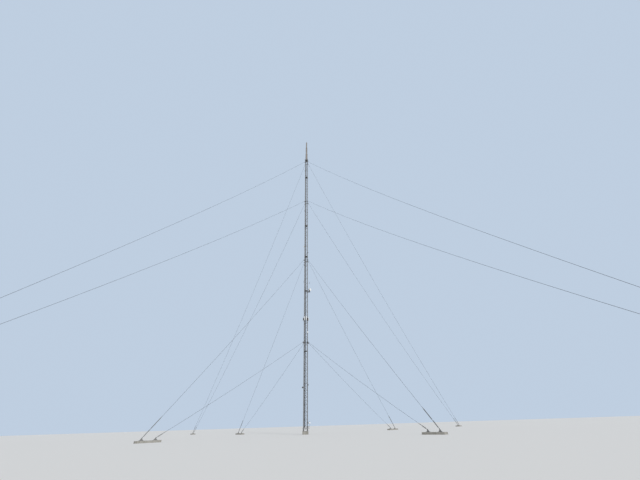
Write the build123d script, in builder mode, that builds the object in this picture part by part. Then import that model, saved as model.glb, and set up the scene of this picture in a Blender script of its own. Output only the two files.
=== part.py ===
# Guyed lattice radio mast at one tenth of its real size, so 1 mm here is 10 mm on the mast.
# The origin is at the centre of the underside of the concrete plinth, and +Z is up.
# The column's faces look along X and Y, and the stays run out along the diagonals.
import math
import os

from build123d import *

# Column
mast_side = 148
leg_flange = 15
leg_thickness = 2
lacing_width = 8
lacing_thickness = 1
bay_height = 110
bay_count = 126
seat_gap = 0.3

# Foundation
plinth_side = 184
plinth_height = 86
plinth_chamfer = 3
shoe_side = 44
shoe_thickness = 4
shoe_gusset_height = 62
shoe_gusset_thickness = 3
shoe_gusset_nose = 8

# Stay collars, counted in bays from the foot
collar_bay_counts = (26, 60, 94, 124)
collar_width = 12
collar_height = 16
lug_thickness = 5
lug_reach = 22
lug_height = 24
lug_root_height = 64

# Stays, one value a level: where the line of each meets the ground, and its rope
anchor_radii = (4730, 4960, 10640, 10760)
rope_radii = (2.6, 2.8, 3.3, 3.3)
# Horizontal pull over weight per length, which sets the sag
stay_flatness = 66900
stay_run_count = 6
lane_angles = (45, 135, 225, 315)

# Fittings at the ends of the stays
pin_radius = 3
fork_width = 16
fork_cheek = 3
fork_length = 26
socket_radius = 5
socket_length = 46
link_radius = 5.5
link_lengths = (210, 530, 420, 420)

# Anchors
block_height = 45
inner_block_length = 560
inner_block_width = 150
outer_block_length = 330
outer_block_width = 180
anchor_plate_thickness = 6
anchor_pin_height = 90
anchor_plate_foot = 90
eye_margin = 2

# Foot of the column
guard_side = 198
guard_height = 12
guard_level = 158

# Runs inside the column, fixed to the inner faces of the lacing
tray_width = 34
tray_thickness = 1.5
tray_start = 190
tray_shift = 34
cable_radius = 4.5
cable_tops = (3900, 5300, 13600)
ladder_width = 40
rail_width = 2.5
rail_depth = 7

# Rest platforms inside the column, counted in bays from the foot, and the plate on its head
platform_bay_counts = (23, 46, 62, 79, 112)
platform_thickness = 3
platform_lift = 4
platform_notch = 3
head_side = 184
head_thickness = 6
handrail_height = 95
handrail_radius = 2.2

# Slim antenna on the head plate
antenna_radii = (62, 50, 37)
antenna_heights = (640, 620, 580)
antenna_flange = 7
antenna_flange_height = 8
spike_radius = 4.5
spike_height = 190
spike_taper = 0.7

# Antennas carried outside the column: the level of each, its size and its arm
arm_radius = 4.5
clamp_thickness = 3
clamp_height = 34
post_length = 90
saddle_depth = 6
saddle_side = 26
dish_hub_share = 0.3
drum_level = 5150
drum_radius = 58
drum_depth = 78
drum_reach = 66
drum_turn = 50
# Shelf below the large dish
shelf_reach = 112
shelf_width = 96
shelf_thickness = 10
shelf_drop = 72
small_dish_depth = 22
# Small dishes, one row each: level, angle about the column, radius, reach and turn on the post
small_dish_rows = (
    (3330, 0, 26, 14, 0),
    (7540, 180, 32, 42, 180),
    (320, 0, 24, 84, 0),
    (200, 0, 15, 62, 0),
)
panel_level = 3895
panel_height = 150
panel_width = 28
panel_depth = 12
panel_frame_side = 216
panel_spread = 36
panel_frame_bar = 8
panel_knee_height = 70
panel_knee_thickness = 3
dipole_level = 5560
dipole_reaches = (80, 16)
dipole_height = 120
dipole_radius = 2.5
light_radius = 6
light_height = 16
box_width = 26
box_height = 46
# Equipment boxes, one row each: level, angle about the column and depth
box_rows = (
    (1360, 180, 48),
    (1450, 0, 18),
    (6410, 180, 18),
    (7170, 0, 18),
    (9740, 180, 18),
    (12920, 180, 18),
)

column_foot = plinth_height + shoe_thickness
column_head = column_foot + bay_count * bay_height
half_side = mast_side / 2
lacing_plane_out = half_side - leg_thickness
lacing_plane_in = lacing_plane_out - lacing_thickness
joint_reach = lacing_plane_in - seat_gap - 0.75 * lacing_width
collar_outside = half_side + collar_width
lug_pin_radius = collar_outside * math.sqrt(2) + lug_reach
fork_gap = 2 * seat_gap
eye_radius = fork_width / 2 + eye_margin


def save(part, name):
    part.label = name
    export_step(part, f"parts/{name}.step")


def bay_level(bays):
    return column_foot + bays * bay_height


def side_plane(angle, distance):
    """Upright plane that looks outwards at this angle about the column."""
    outward = Vector(1, 0, 0).rotate(Axis.Z, angle)
    return Plane(origin=outward * distance, x_dir=outward.rotate(Axis.Z, 90), z_dir=outward)


def stay_route(level, angle):
    """Corner points of one stay from its collar pin to its anchor pin, on a shallow parabola."""
    top = Vector(lug_pin_radius, 0, bay_level(collar_bay_counts[level]))
    slope = top.Z / (anchor_radii[level] - top.X)
    foot = Vector(anchor_radii[level] - anchor_pin_height / slope, 0, anchor_pin_height)
    chord = (foot - top).length
    sag = (foot.X - top.X) * chord / (8 * stay_flatness)
    points = []
    for step in range(stay_run_count + 1):
        share = step / stay_run_count
        drop = Vector(0, 0, 4 * sag * share * (1 - share))
        points.append((top + (foot - top) * share - drop).rotate(Axis.Z, angle))
    return points


def end_plane(start, towards, angle):
    """Plane on a pin, looking along the stay, with its X axis across the lane."""
    across = Vector(0, 1, 0).rotate(Axis.Z, angle)
    return Plane(origin=start, x_dir=across, z_dir=towards - start)


def fork(plate_thickness, sleeve_radius, sleeve_length):
    """Fork that straddles a plate on its pin, with the sleeve that grips the rope along +Z."""
    slot = plate_thickness + fork_gap
    with BuildPart() as fitting:
        with BuildSketch(Plane.YZ):
            with Locations((0, (fork_length - fork_width / 2) / 2)):
                Rectangle(fork_width, fork_length + fork_width / 2)
        extrude(amount=slot / 2 + fork_cheek, both=True)
        with BuildSketch(Plane.YZ):
            with Locations((0, (fork_length - fork_cheek * 2 - fork_width / 2) / 2)):
                Rectangle(fork_width, fork_length - fork_cheek * 2 + fork_width / 2)
        extrude(amount=slot / 2, both=True, mode=Mode.SUBTRACT)
        with BuildSketch(Plane.YZ):
            RegularPolygon(pin_radius, 6)
        extrude(amount=slot / 2, both=True)
        with BuildSketch(Plane.XY.offset(fork_length)):
            RegularPolygon(radius=sleeve_radius, side_count=8)
        extrude(amount=sleeve_length)
    return fitting.part


os.makedirs("parts", exist_ok=True)

# Concrete plinth with bevelled top edges
with BuildPart() as foundation_plinth:
    with BuildSketch():
        Rectangle(plinth_side, plinth_side)
    extrude(amount=plinth_height)
    chamfer(foundation_plinth.faces().sort_by(Axis.Z)[-1].edges(), length=plinth_chamfer)
save(foundation_plinth.part, "foundation_plinth")

# One base plate under each leg, with sloping gussets that flare out from the leg's outer faces
gusset_reach = shoe_side / 2 - leg_flange / 2
with BuildPart() as base_shoes:
    with BuildSketch(Plane.XY.offset(plinth_height)):
        with GridLocations(mast_side - leg_flange, mast_side - leg_flange, 2, 2):
            Rectangle(shoe_side, shoe_side)
    extrude(amount=shoe_thickness)
    for corner in range(4):
        for hand in (-1, 1):
            across = hand * (half_side - leg_flange / 2)
            gusset_plane = Plane(
                origin=Vector(half_side, across, column_foot).rotate(Axis.Z, 90 * corner),
                x_dir=Vector(1, 0, 0).rotate(Axis.Z, 90 * corner),
                z_dir=Vector(0, -1, 0).rotate(Axis.Z, 90 * corner),
            )
            with BuildSketch(gusset_plane):
                with BuildLine():
                    Polyline(
                        (0, 0),
                        (gusset_reach, 0),
                        (gusset_reach, shoe_gusset_nose),
                        (0, shoe_gusset_height),
                        close=True,
                    )
                make_face()
            extrude(amount=shoe_gusset_thickness / 2, both=True)
save(base_shoes.part, "base_shoes")

# Four corner angles, heel outwards
leg_corners = {"back_right": 0, "back_left": 90, "front_left": 180, "front_right": 270}
for name, angle in leg_corners.items():
    with BuildPart() as leg:
        with BuildSketch(Plane.XY.offset(column_foot)):
            with BuildLine():
                Polyline(
                    (half_side, half_side),
                    (half_side - leg_flange, half_side),
                    (half_side - leg_flange, half_side - leg_thickness),
                    (half_side - leg_thickness, half_side - leg_thickness),
                    (half_side - leg_thickness, half_side - leg_flange),
                    (half_side, half_side - leg_flange),
                    close=True,
                )
            make_face()
        extrude(amount=column_head - column_foot)
    save(leg.part.rotate(Axis.Z, angle), f"leg_{name}")

# Zigzag lacing bars on the inner faces of the leg angles, one panel a side and span
span_ends = (0,) + collar_bay_counts[:-1] + (bay_count,)
side_angles = {"right": 0, "back": 90, "left": 180, "front": 270}
for name, angle in side_angles.items():
    for span in range(len(span_ends) - 1):
        first, last = span_ends[span], span_ends[span + 1]
        joints = [(0, bay_level(first - 0.5))]
        for joint in range(first, last + 1):
            hand = 1 if joint % 2 else -1
            joints.append((hand * joint_reach, bay_level(joint)))
        joints.append((0, bay_level(last + 0.5)))
        with BuildPart() as lacing:
            with BuildSketch(side_plane(angle, lacing_plane_in)):
                with BuildLine():
                    Polyline(*joints)
                trace(line_width=lacing_width)
                with Locations((0, bay_level((first + last) / 2))):
                    Rectangle(mast_side, (last - first) * bay_height, mode=Mode.INTERSECT)
            extrude(amount=lacing_thickness)
        save(lacing.part, f"lacing_{name}_{span + 1}")

# Stay collars: a flat frame round the legs, with a tapered lug plate out of each leg's heel
lug_start = half_side * math.sqrt(2)
lug_end = lug_pin_radius + fork_width / 2
for level, bays in enumerate(collar_bay_counts):
    with BuildPart() as collar:
        with BuildSketch(Plane.XY.offset(bay_level(bays) - collar_height / 2)):
            Rectangle(2 * collar_outside, 2 * collar_outside)
            Rectangle(mast_side, mast_side, mode=Mode.SUBTRACT)
        extrude(amount=collar_height)
        for angle in lane_angles:
            lane_plane = Plane(
                origin=(0, 0, bay_level(bays)),
                x_dir=Vector(1, 0, 0).rotate(Axis.Z, angle),
                z_dir=Vector(0, -1, 0).rotate(Axis.Z, angle),
            )
            with BuildSketch(lane_plane):
                with BuildLine():
                    Polyline(
                        (lug_start, lug_root_height / 2),
                        (lug_start, -lug_root_height / 2),
                        (lug_pin_radius, -lug_height / 2),
                        (lug_end, -lug_height / 4),
                        (lug_end, lug_height / 4),
                        (lug_pin_radius, lug_height / 2),
                        close=True,
                    )
                make_face()
                with Locations((lug_pin_radius, 0)):
                    RegularPolygon(pin_radius + seat_gap, 6, major_radius=False, mode=Mode.SUBTRACT)
            extrude(amount=lug_thickness / 2, both=True)
    save(collar.part, f"stay_collar_{level + 1}")

# Ropes of the four levels
for level in range(len(collar_bay_counts)):
    ropes = []
    for angle in lane_angles:
        points = stay_route(level, angle)
        first_run = (points[1] - points[0]).normalized()
        last_run = (points[-2] - points[-1]).normalized()
        start = points[0] + first_run * (fork_length + socket_length + seat_gap)
        end = points[-1] + last_run * (fork_length + link_lengths[level] + seat_gap)
        with BuildPart() as rope:
            with BuildLine():
                Polyline(start, *points[1:-1], end)
            with BuildSketch(end_plane(start, points[1], angle)):
                RegularPolygon(radius=rope_radii[level], side_count=6)
            sweep(transition=Transition.RIGHT)
        ropes.append(rope.part)
    save(Compound(children=ropes), f"stays_level_{level + 1}")

# Sockets at the collars and rigging links at the anchors
sockets = []
links = []
for level in range(len(collar_bay_counts)):
    for angle in lane_angles:
        points = stay_route(level, angle)
        socket = fork(lug_thickness, socket_radius, socket_length)
        sockets.append(end_plane(points[0], points[1], angle).location * socket)
        link = fork(anchor_plate_thickness, link_radius, link_lengths[level])
        links.append(end_plane(points[-1], points[-2], angle).location * link)
save(Compound(children=sockets), "upper_stay_sockets")
save(Compound(children=links), "lower_stay_links")


def anchor_plate(pin):
    """Steel plate that stands on an anchor block, with sloping sides and an eye for its pin."""
    across, height = pin
    with BuildPart() as plate:
        with BuildSketch(Plane.XZ):
            with BuildLine():
                Polyline(
                    (across - anchor_plate_foot / 2, block_height),
                    (across + anchor_plate_foot / 2, block_height),
                    (across + eye_radius, height),
                    (across + eye_radius / 2, height + eye_radius),
                    (across - eye_radius / 2, height + eye_radius),
                    (across - eye_radius, height),
                    close=True,
                )
            make_face()
            with Locations(pin):
                RegularPolygon(pin_radius + seat_gap, 6, major_radius=False, mode=Mode.SUBTRACT)
        extrude(amount=anchor_plate_thickness / 2, both=True)
    return plate.part


anchor_pins = []
for level in range(len(collar_bay_counts)):
    foot = stay_route(level, 0)[-1]
    anchor_pins.append((foot.X, foot.Z))

plates = []
for angle in lane_angles:
    for pin in anchor_pins:
        plates.append(anchor_plate(pin).rotate(Axis.Z, angle))
save(Compound(children=plates), "anchor_plates")

# Concrete blocks, each holding down two anchor plates
block_rows = {
    "inner": (anchor_pins[:2], inner_block_length, inner_block_width),
    "outer": (anchor_pins[2:], outer_block_length, outer_block_width),
}
for name, (pins, length, width) in block_rows.items():
    blocks = []
    middle = (pins[0][0] + pins[1][0]) / 2
    for angle in lane_angles:
        with BuildPart() as block:
            with BuildSketch():
                with Locations((middle, 0)):
                    Rectangle(length, width)
            extrude(amount=block_height)
            chamfer(block.faces().sort_by(Axis.Z)[-1].edges(), length=plinth_chamfer)
        blocks.append(block.part.rotate(Axis.Z, angle))
    save(Compound(children=blocks), f"{name}_anchor_blocks")


def square_frame(level, side, height):
    """Flat square frame that is held on the outer faces of the legs."""
    with BuildPart() as frame:
        with BuildSketch(Plane.XY.offset(level)):
            Rectangle(side, side)
            Rectangle(mast_side, mast_side, mode=Mode.SUBTRACT)
        extrude(amount=height)
    return frame.part


save(square_frame(guard_level, guard_side, guard_height), "base_guard")

# Rest platforms inside the lacing, notched to clear the ladder and the feeders
platform_half = lacing_plane_in - seat_gap
ladder_room = platform_half - rail_depth - platform_notch
feeder_room = platform_half - tray_thickness - 2 * cable_radius - platform_notch
for number, bays in enumerate(platform_bay_counts):
    with BuildPart() as platform:
        with BuildSketch(Plane.XY.offset(bay_level(bays) + platform_lift)):
            Rectangle(2 * platform_half, 2 * platform_half)
            with Locations((-(platform_half + ladder_room) / 2, 0)):
                Rectangle(
                    platform_half - ladder_room,
                    ladder_width + 2 * platform_notch + rail_width,
                    mode=Mode.SUBTRACT,
                )
            with Locations((-tray_shift, (platform_half + feeder_room) / 2)):
                Rectangle(
                    tray_width + 2 * platform_notch,
                    platform_half - feeder_room,
                    mode=Mode.SUBTRACT,
                )
        extrude(amount=platform_thickness)
    save(platform.part, f"work_platform_{number + 1}")

# Ladder rails from the plinth to the head plate
with BuildPart() as climbing_ladder:
    with BuildSketch(Plane.XY.offset(plinth_height)):
        with Locations((-lacing_plane_in + rail_depth / 2, 0)):
            with GridLocations(0, ladder_width, 1, 2):
                Rectangle(rail_depth, rail_width)
    extrude(amount=column_head - plinth_height)
save(climbing_ladder.part, "climbing_ladder")

# Feeder tray on the back lacing, and the cables that climb it
tray_top = bay_level(collar_bay_counts[-1])
with BuildPart() as feeder_tray:
    with BuildSketch(Plane.XY.offset(tray_start)):
        with Locations((-tray_shift, lacing_plane_in - tray_thickness / 2)):
            Rectangle(tray_width, tray_thickness)
    extrude(amount=tray_top - tray_start)
save(feeder_tray.part, "feeder_tray")

cables = []
for number, cable_top in enumerate(cable_tops):
    cable_x = -tray_shift + (number - 1) * tray_width / len(cable_tops)
    with BuildPart() as cable:
        with BuildSketch(Plane.XY.offset(tray_start)):
            with Locations((cable_x, lacing_plane_in - tray_thickness - cable_radius)):
                RegularPolygon(cable_radius, 8, major_radius=False, rotation=180 / 8)
        extrude(amount=cable_top - tray_start)
    cables.append(cable.part)
save(Compound(children=cables), "feeder_cables")

# Head plate with its handrail
with BuildPart() as top_platform:
    with BuildSketch(Plane.XY.offset(column_head)):
        Rectangle(head_side, head_side)
    extrude(amount=head_thickness)
save(top_platform.part, "top_platform")

deck_level = column_head + head_thickness
rail_offset = head_side - 4 * handrail_radius
with BuildPart() as top_handrail:
    with BuildSketch(Plane.XY.offset(deck_level)):
        with GridLocations(rail_offset, rail_offset, 2, 2):
            Rectangle(2 * handrail_radius, 2 * handrail_radius)
    extrude(amount=handrail_height)
    for height in (handrail_height / 2, handrail_height - 2 * handrail_radius):
        with BuildSketch(Plane.XY.offset(deck_level + height)):
            Rectangle(rail_offset + 2 * handrail_radius, rail_offset + 2 * handrail_radius)
            inner_side = rail_offset - 2 * handrail_radius
            Rectangle(inner_side, inner_side, mode=Mode.SUBTRACT)
        extrude(amount=2 * handrail_radius)
save(top_handrail.part, "top_handrail")

# Slim antenna in three round tiers, with a flange at the foot of each, and the spike on it
with BuildPart() as top_antenna:
    tier_foot = deck_level
    for radius, height in zip(antenna_radii, antenna_heights):
        with BuildSketch(Plane.XY.offset(tier_foot)):
            Circle(radius + antenna_flange)
        extrude(amount=antenna_flange_height)
        with BuildSketch(Plane.XY.offset(tier_foot + antenna_flange_height)):
            Circle(radius)
        extrude(amount=height - antenna_flange_height)
        tier_foot += height
save(top_antenna.part, "top_antenna")

with BuildPart() as lightning_spike:
    with BuildSketch(Plane.XY.offset(tier_foot)):
        RegularPolygon(spike_radius, 6)
    extrude(amount=spike_height, taper=spike_taper)
save(lightning_spike.part, "lightning_spike")


def aim_plane(reach, turn):
    """Upright plane through a post's centre line that looks the way its dish looks."""
    x_dir = Vector(1, 0, 0).rotate(Axis.Z, turn)
    z_dir = Vector(0, -1, 0).rotate(Axis.Z, turn)
    return Plane(origin=(half_side + reach, 0, 0), x_dir=x_dir, z_dir=z_dir)


def dish_arm(reach, turn):
    """Clamp on a leg's outer face, two tubes out to a post, and a saddle on the post."""
    with BuildPart() as arm:
        with BuildSketch(Plane.YZ.offset(half_side)):
            Rectangle(leg_flange, clamp_height + 4 * arm_radius)
        extrude(amount=clamp_thickness)
        with BuildSketch(Plane.YZ.offset(half_side)):
            with GridLocations(0, clamp_height, 1, 2):
                RegularPolygon(arm_radius, 8)
        extrude(amount=reach)
        with BuildSketch(Plane.XY.offset(-post_length / 2)):
            with Locations((half_side + reach, 0)):
                RegularPolygon(arm_radius, 8)
        extrude(amount=post_length)
        with BuildSketch(aim_plane(reach, turn)):
            Rectangle(saddle_side, saddle_side)
        extrude(amount=arm_radius + saddle_depth)
    return arm.part


def drum(radius, depth, reach, turn):
    """Closed round dish with a smaller hub behind it, seated on the saddle."""
    seat = arm_radius + saddle_depth
    hub_depth = depth * dish_hub_share
    with BuildPart() as dish:
        with BuildSketch(aim_plane(reach, turn).offset(seat)):
            RegularPolygon(radius / 2, 8)
        extrude(amount=hub_depth)
        with BuildSketch(aim_plane(reach, turn).offset(seat + hub_depth)):
            Circle(radius)
        extrude(amount=depth - hub_depth)
    return dish.part


leg_line = half_side - leg_flange / 2
front_right_leg = Location((0, -leg_line, drum_level))
with BuildPart() as drum_arm:
    add(dish_arm(drum_reach, drum_turn))
    with BuildSketch(Plane.XY.offset(-shelf_drop)):
        with Locations((half_side + shelf_reach / 2, 0)):
            Rectangle(shelf_reach, shelf_width)
    extrude(amount=-shelf_thickness)
    with BuildSketch(Plane.XY.offset(-shelf_drop)):
        with Locations((half_side + drum_reach, 0)):
            RegularPolygon(arm_radius, 8)
    extrude(amount=shelf_drop)
save(front_right_leg * drum_arm.part, "drum_arm")
save(front_right_leg * drum(drum_radius, drum_depth, drum_reach, drum_turn), "drum_dish")

small_arms = []
small_dishes = []
for level, angle, radius, reach, turn in small_dish_rows:
    place = Location((0, 0, level), (0, 0, angle)) * Location((0, -leg_line, 0))
    small_arms.append(place * dish_arm(reach, turn))
    small_dishes.append(place * drum(radius, small_dish_depth, reach, turn))
save(Compound(children=small_arms), "small_dish_arms")
save(Compound(children=small_dishes), "small_dishes")

# Frame of upright panel antennas, two a side, propped by knee plates from the legs
frame_bottom = panel_level - panel_frame_bar / 2
with BuildPart() as panel_frame:
    add(square_frame(frame_bottom, panel_frame_side, panel_frame_bar))
    for corner in range(4):
        for hand in (-1, 1):
            knee_plane = Plane(
                origin=Vector(half_side, hand * leg_line, frame_bottom).rotate(Axis.Z, 90 * corner),
                x_dir=Vector(1, 0, 0).rotate(Axis.Z, 90 * corner),
                z_dir=Vector(0, -1, 0).rotate(Axis.Z, 90 * corner),
            )
            with BuildSketch(knee_plane):
                with BuildLine():
                    Polyline(
                        (0, 0),
                        (0, -panel_knee_height),
                        (panel_frame_side / 2 - half_side, 0),
                        close=True,
                    )
                make_face()
            extrude(amount=panel_knee_thickness / 2, both=True)
save(panel_frame.part, "panel_frame")

panels = []
for angle in side_angles.values():
    for shift in (-1, 1):
        with BuildPart() as panel:
            with BuildSketch(Plane.XY.offset(panel_level - panel_height / 2)):
                with Locations((panel_frame_side / 2 + panel_depth / 2, shift * panel_spread)):
                    Rectangle(panel_depth, panel_width)
            extrude(amount=panel_height)
        panels.append(panel.part.rotate(Axis.Z, angle))
save(Compound(children=panels), "panel_antennas")

# Short dipoles on arms, one each side
dipoles = []
for angle, reach in zip((0, 180), dipole_reaches):
    with BuildPart() as dipole:
        with BuildSketch(Plane.YZ.offset(half_side)):
            with Locations((leg_line, 0)):
                Rectangle(leg_flange, leg_flange)
        extrude(amount=clamp_thickness)
        with BuildSketch(Plane.YZ.offset(half_side)):
            with Locations((leg_line, 0)):
                Rectangle(2 * dipole_radius, 2 * dipole_radius)
        extrude(amount=reach)
        with BuildSketch(Plane.XY.offset(-dipole_height / 2)):
            with Locations((half_side + reach, leg_line)):
                Rectangle(2 * dipole_radius, 2 * dipole_radius)
        extrude(amount=dipole_height)
    dipoles.append(Location((0, 0, dipole_level), (0, 0, angle)) * dipole.part)
save(Compound(children=dipoles), "side_dipoles")

# Obstruction lights on the collars and on the head plate
lights = []
for level in [bay_level(bays) + collar_height / 2 for bays in collar_bay_counts] + [deck_level]:
    for hand in (-1, 1):
        with BuildPart() as light:
            with BuildSketch(Plane.XY.offset(level)):
                with Locations((hand * (half_side + collar_width / 2), 0)):
                    RegularPolygon(light_radius, 8)
            extrude(amount=light_height)
        lights.append(light.part)
save(Compound(children=lights), "obstruction_lights")

# Equipment boxes on the outer faces of the legs
boxes = []
for level, angle, box_depth in box_rows:
    with BuildPart() as box:
        with BuildSketch(Plane.XY.offset(level)):
            with Locations((half_side + box_depth / 2, leg_line)):
                Rectangle(box_depth, box_width)
        extrude(amount=box_height)
    boxes.append(box.part.rotate(Axis.Z, angle))
save(Compound(children=boxes), "equipment_boxes")
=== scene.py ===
# Guyed lattice radio mast at one tenth of its real size, in metres, with +Z up the column.
import math
import bmesh
import bpy
from mathutils import Matrix, Vector


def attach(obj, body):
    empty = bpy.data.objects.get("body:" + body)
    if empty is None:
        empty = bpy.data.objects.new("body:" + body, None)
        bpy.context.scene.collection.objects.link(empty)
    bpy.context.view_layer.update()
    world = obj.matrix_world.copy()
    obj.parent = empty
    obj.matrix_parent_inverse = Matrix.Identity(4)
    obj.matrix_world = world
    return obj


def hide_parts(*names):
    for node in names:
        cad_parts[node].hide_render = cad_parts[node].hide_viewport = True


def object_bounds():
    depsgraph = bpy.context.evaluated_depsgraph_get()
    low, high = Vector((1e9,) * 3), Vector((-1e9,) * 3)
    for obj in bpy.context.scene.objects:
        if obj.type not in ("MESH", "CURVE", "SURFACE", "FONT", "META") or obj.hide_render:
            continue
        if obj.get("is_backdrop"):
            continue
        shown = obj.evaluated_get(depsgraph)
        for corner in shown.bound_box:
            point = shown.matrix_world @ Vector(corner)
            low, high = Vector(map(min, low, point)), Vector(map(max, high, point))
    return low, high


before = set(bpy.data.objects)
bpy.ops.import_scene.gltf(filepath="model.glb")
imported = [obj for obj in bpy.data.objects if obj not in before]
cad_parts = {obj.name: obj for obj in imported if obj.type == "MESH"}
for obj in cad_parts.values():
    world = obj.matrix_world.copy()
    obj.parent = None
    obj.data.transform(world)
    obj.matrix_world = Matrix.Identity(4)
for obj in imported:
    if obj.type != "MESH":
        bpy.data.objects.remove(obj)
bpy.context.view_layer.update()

scene = bpy.context.scene

# Camera
# It stands low in front of the mast and a little to one side, with a very wide lens tilted up.
scene.view_settings.view_transform = "Standard"
focal_pixels = 268.5
picture_pixels = 640
camera_data = bpy.data.cameras.new("camera")
camera_data.sensor_width = 36
camera_data.lens = camera_data.sensor_width * focal_pixels / picture_pixels
camera_data.clip_start = 0.05
camera_data.clip_end = 3000
camera = bpy.data.objects.new("camera", camera_data)
scene.collection.objects.link(camera)
scene.camera = camera
yaw, pitch, roll = math.radians(3.58), math.radians(34.66), math.radians(-1.81)
camera_turn = math.radians(7.27)
ahead = Vector((math.sin(yaw) * math.cos(pitch), math.cos(yaw) * math.cos(pitch), math.sin(pitch)))
level_right = Vector((math.cos(yaw), -math.sin(yaw), 0))
level_up = level_right.cross(ahead)
camera_right = level_right * math.cos(roll) + level_up * math.sin(roll)
camera_up = level_up * math.cos(roll) - level_right * math.sin(roll)
axes = Matrix((camera_right, camera_up, -ahead)).transposed()
camera.rotation_mode = "QUATERNION"
camera.rotation_quaternion = (Matrix.Rotation(camera_turn, 3, "Z") @ axes).to_quaternion()
camera.location = (1.401, -10.984, 0.229)


# Floor, backdrop and light
# A wide pale floor runs out to a pale backdrop, under one broad soft lamp and an even glow.
def feed(tree, node, inputs):
    """Sets inputs of a node: a socket is linked to the input, and anything else is its value."""
    for label, value in inputs.items():
        if isinstance(value, bpy.types.NodeSocket):
            tree.links.new(value, node.inputs[label])
        else:
            node.inputs[label].default_value = value


def add_node(tree, kind, inputs=None, operation=None):
    """New node of this kind, with these inputs."""
    node = tree.nodes.new(kind)
    if operation:
        node.operation = operation
    feed(tree, node, inputs or {})
    return node


def add_maths(tree, operation, *values):
    """Output of a new Math node, with these inputs in their order."""
    return add_node(tree, "ShaderNodeMath", dict(enumerate(values)), operation).outputs["Value"]


floor_colour = (0.74, 0.74, 0.73, 1)
backdrop_colour = (0.52, 0.62, 0.75, 1)
glow_colour = (0.93, 0.96, 1, 1)
bpy.ops.mesh.primitive_circle_add(vertices=96, radius=900, fill_type="NGON")
floor = bpy.context.object
floor.name = "floor"
floor_material = bpy.data.materials.new("floor")
floor_material.use_nodes = True
floor_shader = floor_material.node_tree.nodes["Principled BSDF"]
feed(floor_material.node_tree, floor_shader, {"Base Color": floor_colour, "Roughness": 0.9})
floor.data.materials.append(floor_material)
floor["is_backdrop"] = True

world = bpy.data.worlds.new("studio")
world.use_nodes = True
scene.world = world
studio = world.node_tree
studio.nodes.clear()
glow = add_node(studio, "ShaderNodeBackground", {"Color": glow_colour, "Strength": 0.55})
seen = add_node(studio, "ShaderNodeBackground", {"Color": backdrop_colour, "Strength": 1})
rays = add_node(studio, "ShaderNodeLightPath").outputs
mirrored = add_maths(studio, "MAXIMUM", rays["Is Glossy Ray"], rays["Is Transmission Ray"])
pick = add_node(studio, "ShaderNodeMixShader", {
    "Fac": add_maths(studio, "MAXIMUM", rays["Is Camera Ray"], mirrored),
    1: glow.outputs["Background"],
    2: seen.outputs["Background"],
})
add_node(studio, "ShaderNodeOutputWorld", {"Surface": pick.outputs["Shader"]})

lamp_data = bpy.data.lights.new("lamp", "SUN")
lamp_data.energy = 2.0
lamp_data.angle = math.radians(12)
lamp_data.color = (1, 0.99, 0.98)
lamp = bpy.data.objects.new("lamp", lamp_data)
lamp.rotation_mode = "QUATERNION"
lamp.rotation_quaternion = Vector((-0.45, 0.80, -0.60)).to_track_quat("-Z", "Y")
scene.collection.objects.link(lamp)


# Plinth and anchor blocks
# Cast concrete: one square plinth under the column and two blocks out along each lane. The faces
# show the board marks and small air holes of the casting, and darken where rain runs down.
def new_tree(name, kind, inputs, outputs):
    """Node tree with these named inputs and outputs, what it is given, and its last node."""
    tree = bpy.data.node_groups.new(name, kind)
    for label, socket_type, value in inputs:
        socket = tree.interface.new_socket(name=label, in_out="INPUT", socket_type=socket_type)
        if value is not None:
            socket.default_value = value
    for label, socket_type in outputs:
        tree.interface.new_socket(name=label, in_out="OUTPUT", socket_type=socket_type)
    return tree, tree.nodes.new("NodeGroupInput").outputs, tree.nodes.new("NodeGroupOutput")


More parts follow.
